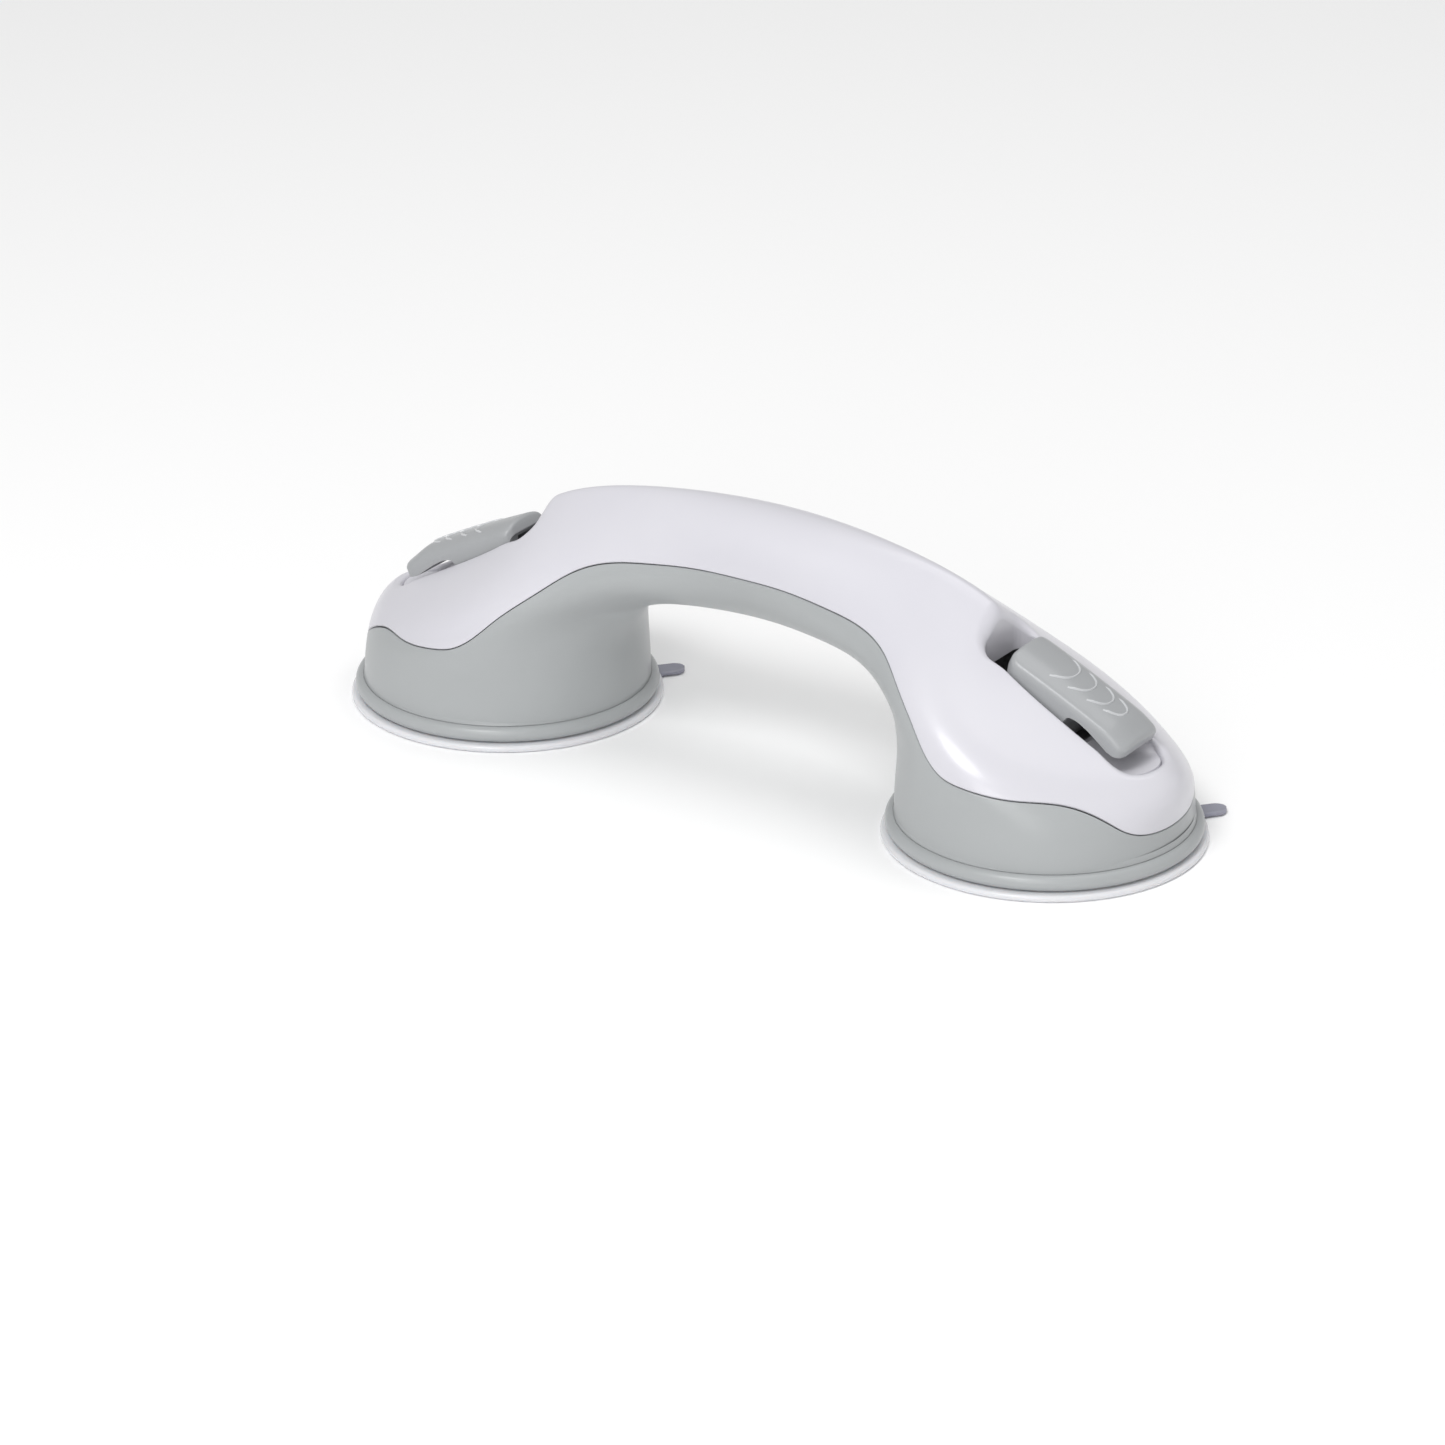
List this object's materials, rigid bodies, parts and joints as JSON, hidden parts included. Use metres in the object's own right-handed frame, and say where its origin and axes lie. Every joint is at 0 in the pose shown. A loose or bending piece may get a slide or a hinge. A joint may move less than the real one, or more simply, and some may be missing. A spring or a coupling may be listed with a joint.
{
  "type": "suction grab bar",
  "caption": "Arched two-foot suction grab bar: each flip lever lowers or lifts a stem that flattens or hollows a soft suction cup.",
  "frame": {"origin": "on the gripped surface, midway between the two suction cups", "axes": "+X along the bar, +Y across it, +Z away from the gripped surface"},
  "size_m": [0.3, 0.1, 0.085],
  "materials": {
    "cover_white": "satin-gloss moulded ABS, white",
    "body_grey": "satin moulded ABS, light warm grey",
    "lever_grey": "satin moulded plastic, grey",
    "cup_soft": "milky translucent soft PVC",
    "stem_plastic": "moulded nylon",
    "pin_steel": "ground steel pin",
    "washer_steel": "stamped steel",
    "spring_steel": "drawn spring wire",
    "screw_steel": "zinc plated"
  },
  "bodies": {
    "handle": {"top_cover": "cover_white", "lower_body": "body_grey", "grip_screws": "screw_steel", "left_cam_washer": "washer_steel", "left_return_spring": "spring_steel", "left_suction_cup": "cup_soft", "right_cam_washer": "washer_steel", "right_return_spring": "spring_steel", "right_suction_cup": "cup_soft"},
    "left_stem": {"left_cup_stem": "stem_plastic", "left_lever_pin": "pin_steel"},
    "left_lever_arm": {"left_lever": "lever_grey"},
    "right_stem": {"right_cup_stem": "stem_plastic", "right_lever_pin": "pin_steel"},
    "right_lever_arm": {"right_lever": "lever_grey"}
  },
  "joints": [
    {"name": "left_stem_slide", "type": "slide", "parent": "handle", "child": "left_stem", "axis": [0, 0, -1], "range_m": [0, 0.005], "deforming": ["left_suction_cup", "left_return_spring"]},
    {"name": "left_lever_hinge", "type": "hinge", "parent": "left_stem", "child": "left_lever_arm", "pos_m": [-0.1, 0, 0.044], "axis": [0, 1, 0], "range_deg": [0, 80]},
    {"name": "right_stem_slide", "type": "slide", "parent": "handle", "child": "right_stem", "axis": [0, 0, -1], "range_m": [0, 0.005], "deforming": ["right_suction_cup", "right_return_spring"]},
    {"name": "right_lever_hinge", "type": "hinge", "parent": "right_stem", "child": "right_lever_arm", "pos_m": [0.1, 0, 0.044], "axis": [0, -1, 0], "range_deg": [0, 80]}
  ],
  "couplings": [
    {"joint": "left_lever_hinge", "follows": "left_stem_slide", "rad_per_m": 279.25},
    {"joint": "right_lever_hinge", "follows": "right_stem_slide", "rad_per_m": 279.25}
  ]
}
